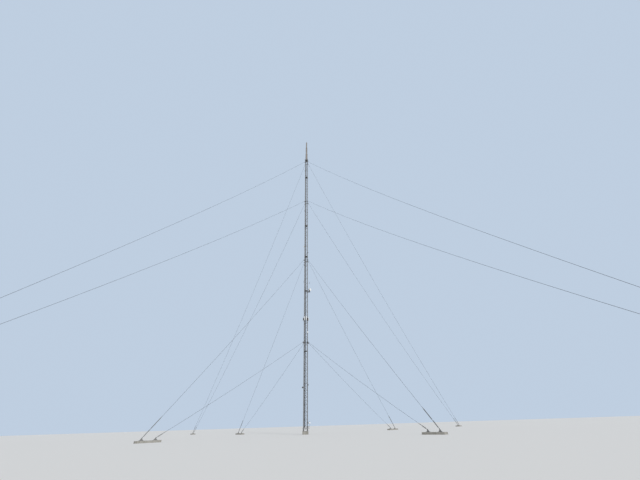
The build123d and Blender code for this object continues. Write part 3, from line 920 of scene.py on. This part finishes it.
rows = []
for pin, down, foot, up, radius, link in stay_ends:
    top = link_start + link
    body_end = body_start + min(link / 2, longest_body)
    screw_end = body_end + 0.030
    plates_end = top - basket_length
    bm = bmesh.new()
    fork_head(bm, slot=0.0066)
    add_bar(bm, (0, 0, 0.0255), (0, 0, body_start + thread_length), thread_radius, 12)
    add_bar(bm, (0, 0, body_end - thread_length), (0, 0, screw_end), thread_radius, 12)
    for lock_nut in (body_start - 0.006, body_end + 0.001):
        add_bar(bm, (0, 0, lock_nut), (0, 0, lock_nut + 0.005), 0.0062, 6)
    for low in (body_start, body_end - collar_length):
        add_bar(bm, (0, 0, low), (0, 0, low + collar_length), 0.0078, 14)
    body = {"middle": 0.0058, "thickness": 0.0026, "reach": 0.0075}
    add_side_plates(bm, **body, low=body_start + 0.006, high=body_end - 0.006)
    coupling = {"middle": 0.0052, "thickness": 0.0024, "reach": 0.0078}
    add_side_plates(bm, **coupling, low=screw_end - 0.006, high=plates_end + 0.008)
    add_coupling_pin(bm, screw_end)
    if plates_end - screw_end > 0.15:
        add_coupling_pin(bm, (screw_end + plates_end) / 2)
    add_coupling_pin(bm, plates_end)
    add_lathe(bm, (
        *((width, plates_end + height) for width, height in basket),
        (0.0046, top - 0.005), (0.0052, top - 0.004), (0.0052, top), (radius * 1.1, top + 0.0015),
    ), 20)
    rows.append((as_object(bm, "rigging"), foot, up))
at_stays("rigging_screws", rigging_steel, rows, ("lower_stay_links",))

# Anchor plates' feet
# A foot strip of thick plate under every anchor plate, with four stiffeners welded to both, and
# held to its block by eight long bolts with a washer and a nut each.
block_top = 0.045
strip_top = 0.003
stiffener_root, stiffener_nose, stiffener_top = 0.003, 0.018, 0.020
foot_bolt_line = 0.0165
bm = bmesh.new()
add_box(bm, (-0.052, -0.024, 0), (0.052, 0.024, strip_top))
for hand in (-1, 1):
    for along in (-0.030, 0.030):
        add_skin(bm, [
            [
                (x, hand * stiffener_root, strip_top),
                (x, hand * stiffener_nose, strip_top),
                (x, hand * stiffener_root, stiffener_top),
            ]
            for x in (along - 0.0012, along + 0.0012)
        ])
    for along in (-0.044, -0.015, 0.015, 0.044):
        for low, high, radius, sides in (
            (0.0030, 0.0042, 0.0044, 10), (0.0042, 0.0076, 0.0031, 6), (0.0076, 0.0120, 0.0017, 6),
        ):
            across = hand * foot_bolt_line
            add_bar(bm, (along, across, low), (along, across, high), radius, sides)
foot_strip = as_object(bm, "foot_strip")
along_lanes = {**four_sides, "tilt": (0, 0, math.pi / 4)}
repeated("anchor_feet", fittings_steel, [
    (foot_strip, {"start": (foot.x, 0, block_top), **along_lanes})
    for pin, down, foot, up, radius, link in stay_ends
])

# Rest platforms
# Small floors of bar grating inside the column, on a steel frame with a notch for the ladder and
# one for the feeders, at five levels. A low guard frame runs round the foot.
plates = [f"work_platform_{number}" for number in (1, 2, 3, 4, 5)]
dress(plates + ["panel_frame", "top_platform"], dark_steel)
dress(("base_guard",), galvanised)
platform_lift = 0.007
platform_levels = [column_foot + bays * bay + platform_lift for bays in (23, 46, 62, 79, 112)]
floor_reach = 0.0695
ladder_edge = -0.0555
feeder_edge = 0.0525
bar_half = 0.0004
bm = bmesh.new()
add_box(bm, (ladder_edge, -bar_half, 0), (floor_reach, bar_half, 0.0012))
long_bar = as_object(bm, "long_bar")
bm = bmesh.new()
add_box(bm, (-bar_half, -floor_reach, 0.0002), (bar_half, feeder_edge, 0.0010))
cross_bar = as_object(bm, "cross_bar")
edge_in, edge_out = 0.0693, 0.0705
edge_low, edge_high = -0.0030, 0.0045
bm = bmesh.new()
add_box(bm, (-floor_reach, -edge_out, edge_low), (edge_out, -edge_in, edge_high))
add_box(bm, (edge_in, -edge_in, edge_low), (edge_out, edge_out, edge_high))
add_box(bm, (-0.0100, edge_in, edge_low), (edge_in, edge_out, edge_high))
edge = as_object(bm, "edge")
long_row = {"count": 29, "start": (0, -0.0655, 0), "step": (0, 0.0042, 0)}
cross_row = {"count": 11, "start": (-0.0525, 0, 0), "step": (0.0119, 0, 0)}
parts = []
for level in platform_levels:
    for template, row in ((long_bar, long_row), (cross_bar, cross_row), (edge, {})):
        parts.append((template, {**row, "centre": (0, 0, level)}))
repeated("platform_grating", dark_steel, parts)

# Dish brackets and dishes
# Round drum dishes with a flat white cover and a shallow back, each on a tube bracket clamped to a
# leg. The large one, deep, with its back painted near black as painted shade, is a third of the way up
# on the right, over a grating shelf.
dress(("drum_arm", "small_dish_arms"), dark_steel)
white_enamel = outdoor(
    "white enamel", clean=(0.82, 0.83, 0.83), stain=(0.60, 0.60, 0.57), amount=0.4,
    patch=14, streak=45, grain=1200, rough=(0.28, 0.5),
)
# Back and side wall of the large dish: the near-black colour is painted shade for its shaded underside;
# the stains over it are real wear.
painted_shade_shroud = outdoor(
    "shroud painted shade", clean=(0.048, 0.051, 0.055), stain=(0.10, 0.09, 0.08), amount=0.4,
    patch=20, streak=70, grain=1500, rough=(0.4, 0.6),
)
drum_level = 5.150
# Per dish: side of the column, reach of its post, level, turn on the post, radius and depth
large_dish = (0, 0.066, drum_level, 50, 0.058, 0.078)
small_dishes = (
    (0, 0.014, 3.330, 0, 0.026, 0.022),
    (180, 0.042, 7.540, 180, 0.032, 0.022),
    (0, 0.084, 0.320, 0, 0.024, 0.022),
    (0, 0.062, 0.200, 0, 0.015, 0.022),
)
saddle_height = 0.0105


def dish_place(side, reach, level, turn):
    """Places a dish's own axes on its saddle, with Z out through its cover."""
    post = Matrix.Translation((half_side + reach, -leg_line, level))
    aim = Matrix.Rotation(math.radians(turn), 4, "Z") @ Matrix.Rotation(math.pi / 2, 4, "X")
    seat = Matrix.Translation((0, 0, saddle_height))
    return Matrix.Rotation(math.radians(side), 4, "Z") @ post @ aim @ seat


def rim_width(radius):
    """How far the rim stands out from the side wall of a dish."""
    return min(0.0022, radius * 0.06)


def add_shroud(bm, side, reach, level, turn, radius, depth):
    """Back, hub and side wall of a dish, up to its rim."""
    rim = rim_width(radius)
    wall = radius - rim
    band = radius - rim * 0.3
    add_lathe(bm, (
        (radius * 0.46, 0), (radius * 0.48, 0.001), (radius * 0.48, depth * 0.22),
        (radius * 0.80, depth * 0.32), (wall, depth * 0.40), (wall, depth * 0.62),
        (band, depth * 0.63), (band, depth * 0.65), (wall, depth * 0.66), (wall, depth * 0.865),
    ), 40, dish_place(side, reach, level, turn))


bm = bmesh.new()
add_shroud(bm, *large_dish)
fix(as_object(bm, "drum_shroud", smooth=32), painted_shade_shroud, ("drum_dish",))
bm = bmesh.new()
for dish in small_dishes:
    add_shroud(bm, *dish)
fix(as_object(bm, "small_shrouds", smooth=32), white_enamel, ("small_dishes",))
bm = bmesh.new()
for *spot, radius, depth in (large_dish, *small_dishes):
    rim = rim_width(radius)
    add_lathe(bm, (
        (radius, depth - 0.0036), (radius, depth - 0.0014), (radius - rim, depth - 0.0012),
        (radius - rim * 1.6, depth - 0.0008), (radius * 0.55, depth - 0.0003), (0, depth - 0.0001),
    ), 40, dish_place(*spot))
fix(as_object(bm, "dish_covers", smooth=32), white_enamel)
rim_bolt_count = 12
clamp_out = half_side + 0.003
bm = bmesh.new()
for side, reach, level, turn, radius, depth in (large_dish, *small_dishes):
    place = dish_place(side, reach, level, turn)
    for k in range(rim_bolt_count):
        turned = place @ Matrix.Rotation(2 * math.pi * k / rim_bolt_count, 4, "Z")
        ends = [turned @ Vector((radius - 0.0006, 0, depth - below)) for below in (0.0066, 0.0030)]
        add_bar(bm, *ends, 0.0011, 6)
    leg = Matrix.Rotation(math.radians(side), 4, "Z")
    for height in (-0.0232, 0, 0.0232):
        for shift in (-0.0045, 0.0045):
            grip = Vector((clamp_out, shift - leg_line, level + height))
            add_bar(bm, leg @ grip, leg @ (grip + Vector((0.0024, 0, 0))), 0.0019, 6)
fix(as_object(bm, "dish_bolts"), galvanised)
shelf_out = 0.1848
grating_low, grating_high = drum_level - 0.0720, drum_level - 0.0702
frame_low, frame_high = drum_level - 0.084, drum_level - 0.069
bm = bmesh.new()
for number in range(15):
    across = -0.1125 + 0.0065 * number
    add_box(bm, (0.0790, across - 0.0006, grating_low), (0.1850, across + 0.0006, grating_high))
add_box(bm, (shelf_out, -0.1145, frame_low), (shelf_out + 0.0014, -0.0185, frame_high))
for across in (-0.1151, -0.0191):
    add_box(bm, (0.0760, across, frame_low), (shelf_out, across + 0.0012, frame_high))
fix(as_object(bm, "shelf_grating"), dark_steel)

# Panel antennas
# Eight slim upright panels in white glass-fibre covers, two a side, on a square frame propped from
# the legs, each held by an upper and a lower bracket with two cable glands below.
panel_middle = 3.895
panel_low, panel_high = panel_middle - 0.075, panel_middle + 0.075
panel_lines = (-0.036, 0.036)
panel_back, panel_heart = 0.1096, 0.1140
panel_reach = 0.0140
nose_radius = 0.0032
nose_x = 0.1168
nose_y = panel_reach - nose_radius
outline = []
for corner_y, first in ((nose_y, 90), (-nose_y, 0)):
    for k in range(5):
        bend = math.radians(first - k * 22.5)
        outline.append((nose_x + nose_radius * math.cos(bend), corner_y + nose_radius * math.sin(bend)))
outline += [(panel_back, -panel_reach), (panel_back, panel_reach)]
cap = 0.003
steps = ((panel_low, 0.8), (panel_low + cap, 1), (panel_high - cap, 1), (panel_high, 0.8))
bm = bmesh.new()
for angle in (0, 90, 180, 270):
    turn = Matrix.Rotation(math.radians(angle), 3, "Z")
    for across in panel_lines:
        rings = []
        for height, shrink in steps:
            rings.append([
                turn @ Vector((panel_heart + (x - panel_heart) * shrink, across + y * shrink, height))
                for x, y in outline
            ])
        add_skin(bm, rings)
panels = as_object(bm, "panel_covers", smooth=35)
fix(panels, white_enamel, ("panel_antennas",))


def about(centre, reach):
    """Both corners of a box, from its centre and half its sizes."""
    centre, reach = Vector(centre), Vector(reach)
    return centre - reach, centre + reach


bm = bmesh.new()
for across in panel_lines:
    for level in (panel_low + 0.022, panel_high - 0.022):
        add_box(bm, *about((0.1084, across, level), (0.0014, 0.006, 0.003)))
    add_box(bm, *about((0.1055, across, panel_middle), (0.0015, 0.003, 0.059)))
    add_bar(bm, (0.1135, across, panel_low - 0.009), (0.1135, across, panel_low), 0.0024, 10)
    beside = across + 0.006
    add_bar(bm, (0.1135, beside, panel_low - 0.007), (0.1135, beside, panel_low), 0.0018, 8)
for across in (-0.070, 0, 0.070):
    seat = Vector((0.100, across, panel_middle + 0.004))
    add_bar(bm, seat, seat + Vector((0, 0, 0.0015)), 0.0024, 6)
bracket = as_object(bm, "panel_bracket")
repeated("panel_brackets", dark_steel, ((bracket, four_sides),))

# Side dipoles
# A folded dipole of bent steel tube on each side of the column, a little above the drum dish. Its
# arm is a tube on a foot plate clamped to the leg, and a small box joins loop and arm.
dipole_level = 5.560
half_length = 0.057
loop_half = 0.0055
bm = bmesh.new()
for side, tip in ((1, 0.1540), (-1, 0.0900)):
    y = leg_line * side
    add_box(bm, *about((side * 0.0755, y, dipole_level), (0.0015, 0.0075, 0.0075)))
    add_bar(bm, (side * half_side, y, dipole_level), (side * tip, y, dipole_level), 0.0025, 12)
    low, high = dipole_level - half_length, dipole_level + half_length
    for reach in (tip - loop_half, tip + loop_half):
        add_bar(bm, (side * reach, y, low), (side * reach, y, high), 0.0021, 8)
    inner, outer = side * (tip - 0.0076), side * (tip + 0.0076)
    for end in (low, high):
        add_bar(bm, (inner, y, end), (outer, y, end), 0.0022, 8)
    add_box(bm, *about((side * tip, y, dipole_level), (0.0075, 0.004, 0.007)))
dipoles = as_object(bm, "folded_dipoles", smooth=40)
fix(dipoles, dark_steel, ("side_dipoles",))

# Equipment boxes
# Weatherproof steel boxes on the legs for lamps and amplifiers, with a lid, two hinges, a catch
# and two cable glands under each.
dress(("equipment_boxes",), dark_steel)
lid_thickness = 0.0013
bm = bmesh.new()
add_box(bm, (0, 0.0547, 0.0012), (lid_thickness, 0.0783, 0.0448))
for up in (0.010, 0.036):
    add_bar(bm, (0.0015, 0.0545, up - 0.003), (0.0015, 0.0545, up + 0.003), 0.0010, 8)
add_box(bm, (lid_thickness, 0.0750, 0.0200), (lid_thickness + 0.0010, 0.0770, 0.0260))
for across in (0.0610, 0.0720):
    add_bar(bm, (-0.0095, across, -0.005), (-0.0095, across, 0), 0.0020, 10)
lid = as_object(bm, "lid")
# Per box: level, side of the column in half turns, depth
box_rows = (
    (1.36, 1, 0.048), (1.45, 0, 0.018), (6.41, 1, 0.018),
    (7.17, 0, 0.018), (9.74, 1, 0.018), (12.92, 1, 0.018),
)
parts = []
for level, side, depth in box_rows:
    front = (half_side + depth, 0, 0)
    parts.append((lid, {"start": front, "centre": (0, 0, level), "tilt": (0, 0, math.pi * side)}))
repeated("box_lids", dark_steel, parts)

# Head platform and its rail
# A steel deck on top of the column with a round tube rail on posts, two rails high, and a kick
# plate round the edge.
deck_thickness = 0.006
deck = column_foot + bay_count * bay + deck_thickness
rail_line = 0.0876
rail_radius = 0.0022
rail_top = 0.0928
rail_end = rail_line + 0.002
kick_reach = 0.0910
bm = bmesh.new()
for height in (0.0497, rail_top):
    add_bar(bm, (rail_line, -rail_end, height), (rail_line, rail_end, height), rail_radius, 12)
for across in (-rail_line, -rail_line / 3, rail_line / 3):
    add_bar(bm, (rail_line, across, 0), (rail_line, across, rail_top), rail_radius, 12)
    add_bar(bm, (rail_line, across, 0), (rail_line, across, 0.002), 0.0048, 12)
add_box(bm, (rail_line + 0.0020, -kick_reach, 0), (rail_line + 0.0032, kick_reach, 0.012))
rail_side = as_object(bm, "rail_side", smooth=40)
repeated("head_rail", galvanised, (
    (rail_side, {**four_sides, "centre": (0, 0, deck)}),
), hides=("top_handrail",))

# Slim antenna and lightning spike
# Three stacked drums of weathered glass fibre, bolted together at flanges, with upright seams,
# and on the top cap a tapered steel spike.
antenna_shroud = outdoor(
    "antenna shroud", clean=(0.26, 0.235, 0.215), stain=(0.14, 0.125, 0.11), amount=0.6,
    patch=12, streak=50, grain=1100, rough=(0.5, 0.7),
)
# Outline of the flanges at a tier's foot and of the band half way up it
flange_points = (
    (0.0068, 0.0004), (0.0068, 0.0036), (0.0060, 0.0039), (0.0060, 0.0041), (0.0068, 0.0044),
    (0.0068, 0.0078), (0.0008, 0.0080), (0, 0.0105),
)
band_points = ((0, -0.002), (0.0006, -0.001), (0.0006, 0.001), (0, 0.002))
flange_bolt = hex_bolt("flange_bolt", radius=0.0017, head=0.0016, shank=0.0012)
seam_count = 6
foot = deck
outline = [(0.0686, foot)]
parts = []
bm = bmesh.new()
for radius, height in ((0.062, 0.640), (0.050, 0.620), (0.037, 0.580)):
    outline += [(radius + out, foot + up) for out, up in flange_points]
    outline += [(radius + out, foot + height / 2 + up) for out, up in band_points]
    outline += [(radius, foot + height - 0.001)]
    seam_low = (radius - 0.0008, -0.0014, foot + 0.0105)
    seam_high = (radius + 0.0007, 0.0014, foot + height - 0.004)
    for k in range(seam_count):
        add_box(bm, seam_low, seam_high, Matrix.Rotation(2 * math.pi * k / seam_count, 4, "Z"))
    parts.append((flange_bolt, {
        "start": (radius + 0.0042, 0, foot + 0.0078), "turns": 12, "turn_angle": math.pi / 6,
    }))
    foot += height
antenna_top = foot
add_lathe(bm, outline + [(0.033, antenna_top), (0, antenna_top + 0.0005)], 48)
antenna = as_object(bm, "slim_antenna", smooth=32)
fix(antenna, antenna_shroud, ("top_antenna",))
repeated("flange_bolts", galvanised, parts)
spike_points = (
    (0.0090, -0.0005), (0.0090, 0.0025), (0.0060, 0.0040), (0.0045, 0.0120), (0.0042, 0.054),
    (0.0030, 0.124), (0.0014, 0.176), (0, 0.1898),
)
bm = bmesh.new()
add_lathe(bm, [(radius, antenna_top + up) for radius, up in spike_points], 16)
spike = as_object(bm, "spike", smooth=30)
fix(spike, galvanised, ("lightning_spike",))

# Obstruction lights
# Red moulded lenses with ribs, each on a cast base under a wire guard, in pairs on the collars
# and on the head deck.
red_lamp = outdoor(
    "red lamp", clean=(0.42, 0.020, 0.014), stain=(0.20, 0.015, 0.012), amount=0.4,
    patch=60, streak=120, grain=2500, rough=(0.12, 0.3),
)
feed(red_lamp.node_tree, red_lamp.node_tree.nodes["Principled BSDF"], {"Coat Weight": 0.5})
lens_radius = 0.0050
rib_out = lens_radius + 0.0003
outline = [(0.0048, 0.0040)]
for k in range(6):
    foot = 0.0042 + k * 0.0014
    outline += [(lens_radius, foot), (rib_out, foot + 0.0005), (lens_radius, foot + 0.0010)]
outline += [(0.0046, 0.0130), (0.0030, 0.0148), (0, 0.0155)]
bm = bmesh.new()
add_lathe(bm, outline, 18)
lens = as_object(bm, "lens", smooth=30)
wire_radius = 0.0003
bm = bmesh.new()
add_lathe(bm, ((0.0062, 0), (0.0062, 0.0026), (0.0054, 0.0034), (0.0054, 0.0042)), 16)
for k in range(4):
    turn = Matrix.Rotation(math.pi / 2 * k + 0.4, 3, "Z")
    wire = [turn @ Vector(point) for point in ((0.0058, 0, 0.002), (0.0058, 0, 0.014), (0, 0, 0.016))]
    add_bar(bm, wire[0], wire[1], wire_radius, 5)
    add_bar(bm, wire[1], wire[2], wire_radius, 5)
guard = as_object(bm, "guard", smooth=40)
light_levels = [level + collar_half_height for level in collar_levels] + [deck]
lens_parts, guard_parts = [], []
for level in light_levels:
    pair = {"start": (0.0800, 0, 0), "turns": 2, "turn_angle": math.pi, "centre": (0, 0, level)}
    lens_parts.append((lens, pair))
    guard_parts.append((guard, pair))
repeated("lamp_lenses", red_lamp, lens_parts, hides=("obstruction_lights",))
repeated("lamp_guards", dark_steel, guard_parts)

low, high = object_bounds()
